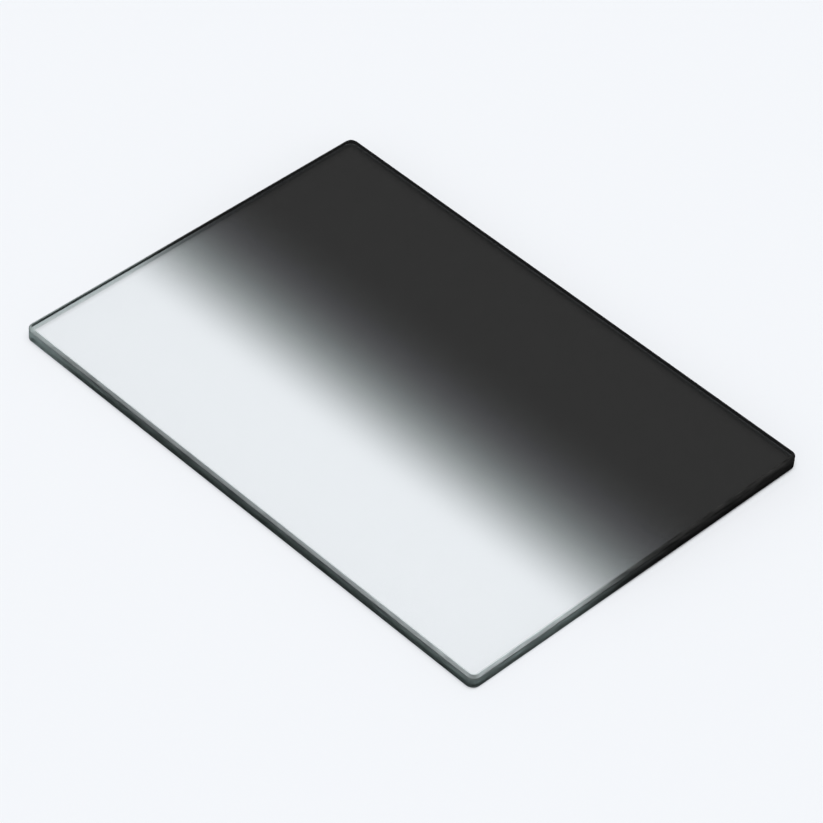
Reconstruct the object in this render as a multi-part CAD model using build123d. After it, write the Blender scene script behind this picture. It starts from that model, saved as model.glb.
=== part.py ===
"""Graduated neutral density filter: one rectangular plate of optical glass.

The plate lies flat with its centre over the origin and its lower face on Z = 0.
X runs along the long side. Y runs across the short side, from the clear long
edge at -Y to the dark long edge at +Y, so the grey deepens along +Y. The grey
is a tint of the glass and has no shape of its own: the real filter is one
piece, and so is this model.

What gives the plate its form is the grinding of its rim. Each upright corner is
rounded, a 45 degree bevel runs round the upper and the lower face, and the
arrises, the four sharp lines that the bevels leave, are softened so that they
don't chip or cut.
"""

import os

from build123d import *

# The plate, in millimetres: the 4 x 5.65 inch size that matte box trays hold
PLATE_LENGTH = 143.5
PLATE_WIDTH = 101.6
PLATE_THICKNESS = 4.0

# Its ground rim
CORNER_RADIUS = 2.0
BEVEL_WIDTH = 0.6
ARRIS_RADIUS = 0.1

# How far an edge may lie from a height and still count as being at it
LEVEL_TOLERANCE = 0.001


def cut_blank():
    """The plate as cut: a rectangle with rounded corners, as thick as the glass."""
    outline = RectangleRounded(PLATE_LENGTH, PLATE_WIDTH, CORNER_RADIUS)
    return extrude(outline, PLATE_THICKNESS)


def edges_at(plate, height):
    """The level edges of the plate that lie at one height."""
    return plate.edges().filter_by_position(
        Axis.Z, height - LEVEL_TOLERANCE, height + LEVEL_TOLERANCE
    )


def bevel_rim(plate):
    """Grind the 45 degree bevels round the lower and the upper face."""
    sharp_edges = edges_at(plate, 0) + edges_at(plate, PLATE_THICKNESS)
    return chamfer(sharp_edges, BEVEL_WIDTH)


def soften_arrises(plate):
    """Round the four lines where the faces, the bevels and the wall meet."""
    lower_arrises = edges_at(plate, 0) + edges_at(plate, BEVEL_WIDTH)
    upper_arrises = edges_at(plate, PLATE_THICKNESS - BEVEL_WIDTH) + edges_at(plate, PLATE_THICKNESS)
    return fillet(lower_arrises + upper_arrises, ARRIS_RADIUS)


filter_plate = soften_arrises(bevel_rim(cut_blank()))
filter_plate.label = "filter_plate"

os.makedirs("parts", exist_ok=True)
export_step(filter_plate, "parts/filter_plate.step")

size = filter_plate.bounding_box().size
print(f"filter_plate: {size.X:.2f} x {size.Y:.2f} x {size.Z:.2f} mm, {filter_plate.volume:.0f} mm3")
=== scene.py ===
# %% [markdown]
# A graduated filter is a plate of optical glass that slides into a holder in front of a camera
# lens. It is clear along one long side and dark grey along the other, and darkens a bright sky
# without touching the ground below it.
# This one lies flat on a pale table. Its shape, with every bevel and rounded corner, comes ready
# made in model.glb and stays as it is, so this lesson is about glass: a tint that deepens
# across the plate, two polished faces and a ground rim.

# %% Load the plate
import math

import bpy
from mathutils import Matrix, Vector


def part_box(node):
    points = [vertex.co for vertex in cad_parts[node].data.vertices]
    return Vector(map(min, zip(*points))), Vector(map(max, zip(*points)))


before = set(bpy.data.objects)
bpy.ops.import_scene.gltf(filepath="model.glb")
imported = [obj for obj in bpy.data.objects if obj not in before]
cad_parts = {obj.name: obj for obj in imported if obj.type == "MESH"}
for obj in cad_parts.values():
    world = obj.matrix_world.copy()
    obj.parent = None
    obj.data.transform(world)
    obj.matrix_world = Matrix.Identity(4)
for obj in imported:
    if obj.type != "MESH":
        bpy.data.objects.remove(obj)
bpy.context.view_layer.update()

MM = 0.001
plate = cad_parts["filter_plate"]
plate_low, plate_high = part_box("filter_plate")
half_length = (plate_high.x - plate_low.x) / 2
half_width = (plate_high.y - plate_low.y) / 2
thickness = plate_high.z - plate_low.z
plate_size = [round(side / MM, 2) for side in (2 * half_length, 2 * half_width, thickness)]
print("plate, mm:", plate_size)

# %% [markdown]
# Colours are written the way a paint chart or a photo editor gives them, as sRGB hex values.
# Shaders count light instead, so one function turns a hex value into linear numbers.


# %% Colour from a hex value
def linear(hex_colour):
    """An sRGB hex value such as "#eceff1" as linear red, green, blue and an alpha of 1."""
    channels = [int(hex_colour[i : i + 2], 16) / 255 for i in (1, 3, 5)]
    toe, slope, offset, power = 0.04045, 12.92, 0.055, 2.4
    light = [c / slope if c <= toe else ((c + offset) / (1 + offset)) ** power for c in channels]
    return (*light, 1.0)


print("the hex value of mid grey, #808080, reflects", round(linear("#808080")[0], 3), "of the light")

# %% [markdown]
# A material is a tree of nodes. One helper adds a node, sets its options, and gives each of its
# inputs either a value or a link from another node's output. Everything below is built with it.


# %% Node helper
def add_node(tree, kind, inputs=None, **options):
    """A new node of this kind, with its options set and its inputs given a value or a link."""
    node = tree.nodes.new(kind)
    for name, value in options.items():
        setattr(node, name, value)
    for name, value in (inputs or {}).items():
        if isinstance(value, bpy.types.NodeSocket):
            tree.links.new(value, node.inputs[name])
        else:
            node.inputs[name].default_value = value
    return node


print("node helper ready")

# %% [markdown]
# The grey. Filter makers give it as optical density, the power of ten that the light is divided
# by: a density of 0.9 leaves an eighth of the light, which a photographer calls three stops. In a
# soft-edged filter the density climbs slowly, fast and slowly again, so no line shows in the sky.
# A Map Range node set to Smooth Step has just that S shape. Object coordinates carry it, because
# they are metres on the plate itself, so the fade stays where it is from any side.

# %% How the grey deepens across the plate
FULL_DENSITY = 0.79
FADE_STARTS = -22.9 * MM
FADE_ENDS = 22.75 * MM


def share_of_light_left(tree, position):
    """What one way through the plate leaves of the light, from 1 on the clear side."""
    across = add_node(tree, "ShaderNodeSeparateXYZ", {"Vector": position}).outputs["Y"]
    fade = add_node(
        tree,
        "ShaderNodeMapRange",
        {"Value": across, "From Min": FADE_STARTS, "From Max": FADE_ENDS},
        interpolation_type="SMOOTHSTEP",
    ).outputs["Result"]
    dark_share = 10**-FULL_DENSITY
    return add_node(tree, "ShaderNodeMath", {0: dark_share, 1: fade}, operation="POWER").outputs[0]


print("the dark side lets", round(100 * 10**-FULL_DENSITY, 1), "% of the light through")

# %% [markdown]
# Which part is rim. The faces are polished, and the wall and the bevels are ground. Both finishes
# are on one mesh, so a mask has to tell them apart. Selecting faces by hand would tie the material
# to this mesh. Measuring how far a point lies in from the outline doesn't: along a side that is
# the distance to the edge, and round a corner it is the distance to the corner's arc.
# Absolute folds the four quarters of the plate into one. Subtract and Maximum say how far a point
# lies past the centre of the corner's arc, and the corner radius less that is its distance in.
# The centre is put high above the plate. Every point is below it, so height never counts.

# %% Distance in from the outline
CORNER_RADIUS = 2.0 * MM
ABOVE_THE_PLATE = 1000 * MM


def distance_in(tree, position):
    """How far in from the outline a point is, in metres. It counts up to the corner radius."""
    centre = (half_length - CORNER_RADIUS, half_width - CORNER_RADIUS, ABOVE_THE_PLATE)
    vector_maths = "ShaderNodeVectorMath"
    one_quarter = add_node(tree, vector_maths, {0: position}, operation="ABSOLUTE").outputs[0]
    past = add_node(tree, vector_maths, {0: one_quarter, 1: centre}, operation="SUBTRACT").outputs[0]
    outward = add_node(tree, vector_maths, {0: past, 1: (0, 0, 0)}, operation="MAXIMUM").outputs[0]
    reach = add_node(tree, vector_maths, {0: outward}, operation="LENGTH").outputs["Value"]
    inward = add_node(tree, "ShaderNodeMath", {0: CORNER_RADIUS, 1: reach}, operation="SUBTRACT")
    return inward.outputs[0]


print("corner radius, mm:", CORNER_RADIUS / MM)

# %% [markdown]
# The mask itself is that distance set against the width of the bevel and its arris, the tiny
# rounding that is stoned on the line between bevel and face. The face meets the bevel at 45
# degrees, so the rounding reaches its radius times the tangent of half that into the face. Past
# it the wheel leaves chips of about a tenth of a millimetre. They are too small to draw one by one,
# so the ground finish fades out over them, and the two finishes don't meet in steps.

# %% Ground or polished
BEVEL_WIDTH = 0.6 * MM
BEVEL_ANGLE = math.radians(45)
ARRIS_RADIUS = 0.1 * MM
CHIPPED_EDGE = 0.12 * MM
GROUND_BAND = BEVEL_WIDTH + ARRIS_RADIUS * math.tan(BEVEL_ANGLE / 2) + CHIPPED_EDGE
SOFT_LINE = 0.12 * MM


def ground_mask(tree, inward):
    """1 where the glass is ground and 0 where it is polished."""
    return add_node(
        tree,
        "ShaderNodeMapRange",
        {
            "Value": inward,
            "From Min": GROUND_BAND - SOFT_LINE,
            "From Max": GROUND_BAND + SOFT_LINE,
            "To Min": 1.0,
            "To Max": 0.0,
        },
    ).outputs["Result"]


print("ground band, mm in from the outline:", round(GROUND_BAND / MM, 3))

# %% [markdown]
# The marks of the grinding. The edge of a plate is drawn along a wheel, so its scratches run along
# the rim and its grain is far finer across it. Real scratches are a few hundredths of a millimetre
# wide, too fine to show at this size, so they are drawn about ten times as wide. A second, broad
# pattern of patches makes some stretches of the rim a little whiter than others, as the wheel's
# pressure does.
# One function makes both: a Noise Texture whose coordinates are divided by the marks' length and
# width. Its values crowd round a half, so a Map Range spreads them out. Its fourth dimension, W,
# works as a seed.

# %% Grinding marks
SCRATCH_LENGTH = 5.0 * MM
SCRATCH_WIDTH = 0.5 * MM
SCRATCH_CONTRAST = 0.5
SCRATCH_SEED = 3.0
PATCH_SIZE = 60.0 * MM
PATCH_CONTRAST = 0.12
PATCH_SEED = 15.0
NOISE_LAYERS = 3.0
NOISE_LAYER_STRENGTH = 0.6
NOISE_LOW = 0.39
NOISE_HIGH = 0.61


def marks(tree, position, length, width, contrast, seed):
    """A pattern of marks along the rim: about 1, and up and down from it by the contrast."""
    scale = (1 / length, 1 / length, 1 / width)
    squeezed = add_node(tree, "ShaderNodeVectorMath", {0: position, 1: scale}, operation="MULTIPLY")
    noise = add_node(
        tree,
        "ShaderNodeTexNoise",
        {
            "Vector": squeezed.outputs[0],
            "W": seed,
            "Scale": 1.0,
            "Detail": NOISE_LAYERS,
            "Roughness": NOISE_LAYER_STRENGTH,
        },
        noise_dimensions="4D",
    )
    return add_node(
        tree,
        "ShaderNodeMapRange",
        {
            "Value": noise.outputs["Fac"],
            "From Min": NOISE_LOW,
            "From Max": NOISE_HIGH,
            "To Min": 1 - contrast,
            "To Max": 1 + contrast,
        },
    ).outputs["Result"]


print("scratches drawn, mm:", SCRATCH_LENGTH / MM, "long and", SCRATCH_WIDTH / MM, "wide")

# %% [markdown]
# The cast of the grey. No grey filter is quite neutral. The bare glass has a trace of sea green,
# as crown glass does. Halfway through the fade the grey has more of it, and at full density it is
# a little warm. A Color Ramp read by the share of light left gives each depth its own cast.
# Each row below is a share of light left and the cast there.

# %% Cast of the grey
GREY_CAST = (
    (0.16, "#fffcf6"),
    (0.25, "#fcfcfe"),
    (0.45, "#f7fffd"),
    (1.0, "#fdffff"),
)


def cast_of_grey(tree, light_left):
    """The faint colour of the grey where it leaves this share of the light."""
    cast = add_node(tree, "ShaderNodeValToRGB", {"Fac": light_left})
    stops = cast.color_ramp.elements
    while len(stops) < len(GREY_CAST):
        stops.new(1.0)
    for stop, (share, tint) in zip(stops, GREY_CAST):
        stop.position = share
        stop.color = linear(tint)
    return cast.outputs["Color"]


print("cast at full density:", GREY_CAST[0][1], "and of the bare glass:", GREY_CAST[-1][1])

# %% [markdown]
# Polished glass. Crown glass has an IOR, the number that says how much it bends light, of about
# 1.52. Looked at straight on, each face then mirrors 4% of the light and lets the rest through.
# Principled BSDF with full transmission does both. It tints light by the square root of its base
# colour at each face, so a base colour of one way's share gives just that share after two faces.
# Its roughness follows the mask too, so a program that keeps only
# this shader shows a matt rim.

# %% Polished glass
CROWN_GLASS_IOR = 1.52
RIM_ROUGHNESS = 0.45


def polished_glass(tree, light_left, ground):
    """The two faces: mirror smooth and tinted by the grey, with a matt rim past the arris."""
    tint = add_node(
        tree,
        "ShaderNodeVectorMath",
        {0: cast_of_grey(tree, light_left), "Scale": light_left},
        operation="SCALE",
    ).outputs["Vector"]
    roughness = add_node(
        tree, "ShaderNodeMath", {0: ground, 1: RIM_ROUGHNESS}, operation="MULTIPLY"
    ).outputs[0]
    return add_node(
        tree,
        "ShaderNodeBsdfPrincipled",
        {
            "Base Color": tint,
            "Roughness": roughness,
            "IOR": CROWN_GLASS_IOR,
            "Transmission Weight": 1.0,
        },
    ).outputs[0]


print("polished crown glass, IOR", CROWN_GLASS_IOR)

# %% [markdown]
# How milky the rim is. Every pit of the grinding throws a little light back, so ground glass looks
# as if it had a thin coat of milk. How much of it there is changes with height, and that change is
# painted light and shade: the bevels are the whitest, above all next to the faces, and below the
# upper one the wall gets darker on its way down. The wall's milk turns sea green, the colour of
# crown glass seen through its depth. One Color Ramp over the height holds both: its colour is the
# milk's tint and its alpha is the milk's share with the painted light and shade in it. Each row
# below is a height over the table, a tint and a share.

# %% Milk and painted light of the ground rim
BEVEL_MILK = "#e7f2ef"
WALL_MILK = "#d8f0ed"
MILK_AND_PAINTED_LIGHT_BY_HEIGHT = (
    (0.0, BEVEL_MILK, 0.18),
    (BEVEL_WIDTH, WALL_MILK, 0.036),
    (1.5 * MM, WALL_MILK, 0.036),
    (2.6 * MM, WALL_MILK, 0.115),
    (3.3 * MM, BEVEL_MILK, 0.09),
    (3.5 * MM, BEVEL_MILK, 0.09),
    (3.7 * MM, BEVEL_MILK, 0.132),
    (thickness, BEVEL_MILK, 0.18),
)


def milk_and_painted_light_by_height(tree, height):
    """The Color Ramp node of the milk with its painted light and shade: Color is its tint and Alpha
    is its share.
    """
    share_of_height = add_node(tree, "ShaderNodeMath", {0: height, 1: thickness}, operation="DIVIDE")
    milk = add_node(tree, "ShaderNodeValToRGB", {"Fac": share_of_height.outputs[0]})
    stops = milk.color_ramp.elements
    while len(stops) < len(MILK_AND_PAINTED_LIGHT_BY_HEIGHT):
        stops.new(1.0)
    for stop, (level, tint, share) in zip(stops, MILK_AND_PAINTED_LIGHT_BY_HEIGHT):
        stop.position = level / thickness
        stop.color = (*linear(tint)[:3], share)
    return milk


print("milk on the bevels:", MILK_AND_PAINTED_LIGHT_BY_HEIGHT[0][2], "and on the wall:", MILK_AND_PAINTED_LIGHT_BY_HEIGHT[1][2])

# %% [markdown]
# Near a corner the glass also takes in light through the neighbouring side, so the rim of a long
# side looks whiter at its ends than in its middle, and a short side is as white as those ends.
# That light is painted into the milk's share: painted shade in the middle of a long side and
# painted light at its ends. X squared gives that: it is the same either way along, flat in the
# middle and steep at the ends.

# %% Painted light from the corners
PAINTED_SHADE_IN_THE_MIDDLE = 0.68
PAINTED_LIGHT_AT_THE_ENDS = 1.2


def painted_corner_light(tree, position):
    """Painted light and shade on the milk: how many times its plain share it has, by how far along
    the plate a point is.
    """
    along = add_node(tree, "ShaderNodeSeparateXYZ", {"Vector": position}).outputs["X"]
    squared = add_node(tree, "ShaderNodeMath", {0: along, 1: along}, operation="MULTIPLY")
    return add_node(
        tree,
        "ShaderNodeMapRange",
        {
            "Value": squared.outputs[0],
            "From Max": half_length**2,
            "To Min": PAINTED_SHADE_IN_THE_MIDDLE,
            "To Max": PAINTED_LIGHT_AT_THE_ENDS,
        },
    ).outputs["Result"]


print("milk in the middle of a long side, times:", PAINTED_SHADE_IN_THE_MIDDLE)

# %% [markdown]
# Ground glass. Under its milk one sees far into the plate, so where the plate is clear the rim has
# a dark depth, and where the plate is dark it is nearly black. A rough Refraction BSDF gives the
# depth and a small share of Diffuse BSDF gives the milk. A Principled BSDF made rough would do the
# same but mirror the table as a glare all over the wall.
# The grey takes more from the wall than from the faces, because light reaches the wall along the
# plate, so the share of light left is raised to a power. The lower bevel is seen mostly through the
# upper face, which has taken its part of the light already, so its own power is lower. What the
# pits throw back straight away never goes through the grey: that is the dark side's milk colour.
# A Mix node holds sockets for numbers, vectors and colours side by side. Its two colours are
# inputs 6 and 7, and the mixed colour is output 2.

# %% Ground glass
DEPTH_TINT = "#d0d6d6"
DARK_MILK = "#5a5958"
LOWER_BEVEL_POWER = 0.75
WALL_POWER = 2.2
MILK_POWER = 2.8
MIX_COLOUR_A = 6
MIX_COLOUR_B = 7
MIXED_COLOUR = 2


def ground_glass(tree, position, height, light_left):
    """The wall and the bevels: matt, milky, and dark where the plate is dark."""
    maths = "ShaderNodeMath"
    power = add_node(
        tree,
        "ShaderNodeMapRange",
        {
            "Value": height,
            "From Min": BEVEL_WIDTH,
            "From Max": 2 * BEVEL_WIDTH,
            "To Min": LOWER_BEVEL_POWER,
            "To Max": WALL_POWER,
        },
    ).outputs["Result"]
    depth_left = add_node(tree, maths, {0: light_left, 1: power}, operation="POWER").outputs[0]
    milk_left = add_node(tree, maths, {0: light_left, 1: MILK_POWER}, operation="POWER").outputs[0]
    depth = add_node(
        tree,
        "ShaderNodeVectorMath",
        {0: linear(DEPTH_TINT)[:3], "Scale": depth_left},
        operation="SCALE",
    ).outputs["Vector"]
    by_height = milk_and_painted_light_by_height(tree, height).outputs
    milk = add_node(
        tree,
        "ShaderNodeMix",
        {0: milk_left, MIX_COLOUR_A: linear(DARK_MILK), MIX_COLOUR_B: by_height["Color"]},
        data_type="RGBA",
    ).outputs[MIXED_COLOUR]

    scratches = marks(tree, position, SCRATCH_LENGTH, SCRATCH_WIDTH, SCRATCH_CONTRAST, SCRATCH_SEED)
    patches = marks(tree, position, PATCH_SIZE, PATCH_SIZE, PATCH_CONTRAST, PATCH_SEED)
    # The ramp's alpha is the milk's share with the painted light and shade by height in it.
    milky = by_height["Alpha"]
    # The grinding marks and the painted light and shade from the corners change that share.
    for factor in (scratches, patches, painted_corner_light(tree, position)):
        milky = add_node(tree, maths, {0: milky, 1: factor}, operation="MULTIPLY").outputs[0]
    see_in = add_node(
        tree,
        "ShaderNodeBsdfRefraction",
        {"Color": depth, "Roughness": RIM_ROUGHNESS, "IOR": CROWN_GLASS_IOR},
    ).outputs[0]
    scatter = add_node(tree, "ShaderNodeBsdfDiffuse", {"Color": milk}).outputs[0]
    return add_node(tree, "ShaderNodeMixShader", {0: milky, 1: see_in, 2: scatter}).outputs[0]


print("rim roughness:", RIM_ROUGHNESS)

# %% [markdown]
# The light that reaches the table. Light bent by glass is slow to trace and comes out speckled, so
# the rays that only ask how much light gets through (shadow rays, and rays that bounced off a matt
# surface) meet a plain tinted Transparent BSDF here. They cross two faces, so each face takes the
# square root, and the table under the plate is as bright as the grey lets it be.
# Ground glass scatters light away, so the rim keeps some back. What does enter the rim is caught
# between the two faces, as in a light guide, and never leaves the lower one. That is why a glass
# plate has a thin soft shade on the table just inside its rim. Here the lower face makes it: it
# passes less and less light over its last two millimetres, the width of the corner radius.

# %% Tinted air for shadow rays
RIM_SHADE = 0.8
FOOT_SHADE = 0.6


def tinted_air(tree, height, inward, light_left, ground):
    """What a ray that asks only for light meets at each face."""
    foot_shade = add_node(
        tree,
        "ShaderNodeMapRange",
        {"Value": height, "From Max": BEVEL_WIDTH, "To Min": FOOT_SHADE, "To Max": 1.0},
    ).outputs["Result"]
    edge_shade = add_node(
        tree,
        "ShaderNodeMapRange",
        {"Value": inward, "From Max": CORNER_RADIUS, "To Min": foot_shade, "To Max": 1.0},
    ).outputs["Result"]
    maths = "ShaderNodeMath"
    one_face = add_node(tree, maths, {0: light_left}, operation="SQRT").outputs[0]
    rim_shade = add_node(
        tree, "ShaderNodeMapRange", {"Value": ground, "To Min": 1.0, "To Max": RIM_SHADE}
    ).outputs["Result"]
    shade = add_node(tree, maths, {0: rim_shade, 1: edge_shade}, operation="MULTIPLY").outputs[0]
    passed = add_node(tree, maths, {0: one_face, 1: shade}, operation="MULTIPLY").outputs[0]
    return add_node(tree, "ShaderNodeBsdfTransparent", {"Color": passed}).outputs[0]


print("light passed by the rim:", RIM_SHADE, "and at the foot of the edge:", FOOT_SHADE)

# %% [markdown]
# Now the whole plate. Optical crown glass is poured, ground flat and polished, and the grey adds
# no thickness that could be seen, so one material holds it all: to the eye the faces are clean and
# wet-looking, and the rim is a dull dark line with a pale bevel.
# Light Path tells the kinds of rays apart: what is seen is glass, and what only asks for light
# meets the tinted air.

# %% The whole plate
def graded_glass():
    """Optical crown glass with a grey grade: polished faces and a ground rim."""
    material = bpy.data.materials.new("graded optical crown glass")
    material.use_nodes = True
    tree = material.node_tree
    tree.nodes.clear()
    position = add_node(tree, "ShaderNodeTexCoord").outputs["Object"]
    height = add_node(tree, "ShaderNodeSeparateXYZ", {"Vector": position}).outputs["Z"]
    light_left = share_of_light_left(tree, position)
    inward = distance_in(tree, position)
    ground = ground_mask(tree, inward)
    faces = polished_glass(tree, light_left, ground)
    rim = ground_glass(tree, position, height, light_left)
    glass = add_node(tree, "ShaderNodeMixShader", {0: ground, 1: faces, 2: rim}).outputs[0]

    air = tinted_air(tree, height, inward, light_left, ground)
    rays = add_node(tree, "ShaderNodeLightPath").outputs
    mix = "ShaderNodeMixShader"
    seen = add_node(tree, mix, {0: rays["Is Diffuse Ray"], 1: glass, 2: air}).outputs[0]
    whole = add_node(tree, mix, {0: rays["Is Shadow Ray"], 1: seen, 2: air}).outputs[0]
    add_node(tree, "ShaderNodeOutputMaterial", {"Surface": whole})
    return material


plate.material_slots[0].material = graded_glass()
print("material on the plate:", plate.material_slots[0].material.name)

# %% [markdown]
# The table is a plain board in matt paint, far wider than the plate, so that no edge of it shows.
# It lies a hair below the plate, because two surfaces in one place would flicker.

# %% Table
TABLE_REACH = 3000 * MM
AIR_GAP = 0.02 * MM
BOARD_COLOUR = "#f2f4f7"


def matt_paint(name, hex_colour):
    """Emulsion paint: no gloss at all."""
    material = bpy.data.materials.new(name)
    material.use_nodes = True
    shader = material.node_tree.nodes["Principled BSDF"]
    shader.inputs["Base Color"].default_value = linear(hex_colour)
    shader.inputs["Roughness"].default_value = 1.0
    shader.inputs["Specular IOR Level"].default_value = 0.0
    return material


bpy.ops.mesh.primitive_plane_add(size=2 * TABLE_REACH, location=(0, 0, plate_low.z - AIR_GAP))
table = bpy.context.active_object
table.name = "table_top"
table.data.materials.append(matt_paint("matt pale paint", BOARD_COLOUR))
print("table:", 2 * TABLE_REACH, "m square")

# %% [markdown]
# A glass plate shows the room it is in. Here that is a plain studio: pale near the horizon and
# a calm dark grey overhead. The dark side mirrors it, so it sets how black that side can look.
# In a world's shader the Generated coordinates are the direction that a ray goes in, and their Z
# is the sine of its angle over the horizon.

# %% Room light
HORIZON_LIGHT = 1.0
OVERHEAD_LIGHT = 0.18
PALE_UP_TO = math.radians(12)
GREY_FROM = math.radians(35)

world = bpy.data.worlds.new("studio")
bpy.context.scene.world = world
world.use_nodes = True
room = world.node_tree
room.nodes.clear()
direction = add_node(room, "ShaderNodeTexCoord").outputs["Generated"]
up = add_node(room, "ShaderNodeSeparateXYZ", {"Vector": direction}).outputs["Z"]
overhead = add_node(
    room,
    "ShaderNodeMapRange",
    {"Value": up, "From Min": math.sin(PALE_UP_TO), "From Max": math.sin(GREY_FROM)},
    interpolation_type="SMOOTHSTEP",
).outputs["Result"]
strength = add_node(
    room,
    "ShaderNodeMapRange",
    {"Value": overhead, "To Min": HORIZON_LIGHT, "To Max": OVERHEAD_LIGHT},
).outputs["Result"]
air = add_node(room, "ShaderNodeBackground", {"Color": linear(BOARD_COLOUR), "Strength": strength})
add_node(room, "ShaderNodeOutputWorld", {"Surface": air.outputs[0]})
print("room light:", HORIZON_LIGHT, "at the horizon,", OVERHEAD_LIGHT, "overhead")

# %% [markdown]
# The main light is a wide diffuser high over the plate, a little to its front right. An area lamp
# would do, but it lights the table less and less towards the horizon. A Sun lamp as wide as the
# diffuser looks from the plate lights near and far alike, with the same soft shadow. Only the
# direction that it comes from counts, not how far away it is.
# Seen from above, polished glass would mirror the diffuser as a white glare over the whole plate.
# A photographer moves the lamp until the mirror image misses the lens. Two switches do the same
# for a camera anywhere: rays that a mirror or a glass face has turned don't see this lamp.

# %% Diffuser overhead
DIFFUSER_WIDTH = math.radians(50)
DIFFUSER_LIGHT = 2.43
DIFFUSER_FROM = Vector((0.28, -0.12, 1.2))

diffuser_light = bpy.data.lights.new("diffuser", "SUN")
diffuser_light.angle = DIFFUSER_WIDTH
diffuser_light.energy = DIFFUSER_LIGHT
diffuser = bpy.data.objects.new("diffuser", diffuser_light)
diffuser.location = DIFFUSER_FROM
diffuser.rotation_mode = "QUATERNION"
diffuser.rotation_quaternion = DIFFUSER_FROM.to_track_quat("Z", "Y")
diffuser.visible_glossy = False
diffuser.visible_transmission = False
bpy.context.scene.collection.objects.link(diffuser)
print("diffuser:", round(math.degrees(DIFFUSER_WIDTH)), "degrees wide")

# %% [markdown]
# The camera stands so that the plate's four corners fall where they do in the photograph: a long
# lens well back, looking down over the near clear corner by a little under 45 degrees and tipped a
# few degrees about its own axis.

# %% Camera
CAMERA_AZIMUTH = math.radians(42.92)
CAMERA_ELEVATION = math.radians(43.77)
CAMERA_ROLL = math.radians(4.16)
CAMERA_DISTANCE = 902.3 * MM
CAMERA_LENS = 176.9
CAMERA_SEES_FROM = 10 * MM
AIM = Vector((2.77, -1.48, 0.0)) * MM

back = Vector(
    (
        math.sin(CAMERA_AZIMUTH) * math.cos(CAMERA_ELEVATION),
        -math.cos(CAMERA_AZIMUTH) * math.cos(CAMERA_ELEVATION),
        math.sin(CAMERA_ELEVATION),
    )
)
lens = bpy.data.cameras.new("camera")
lens.lens = CAMERA_LENS
lens.clip_start = CAMERA_SEES_FROM
camera = bpy.data.objects.new("camera", lens)
level_view = (-back).to_track_quat("-Z", "Y").to_matrix().to_4x4()
tipped = Matrix.Rotation(CAMERA_ROLL, 4, "Z")
camera.matrix_world = Matrix.Translation(AIM + back * CAMERA_DISTANCE) @ level_view @ tipped
bpy.context.scene.collection.objects.link(camera)
bpy.context.scene.camera = camera
print("camera:", [round(place, 3) for place in camera.matrix_world.translation])

# %% [markdown]
# Standard shows each colour about as it was written.

# %% Finish
bpy.context.scene.view_settings.view_transform = "Standard"
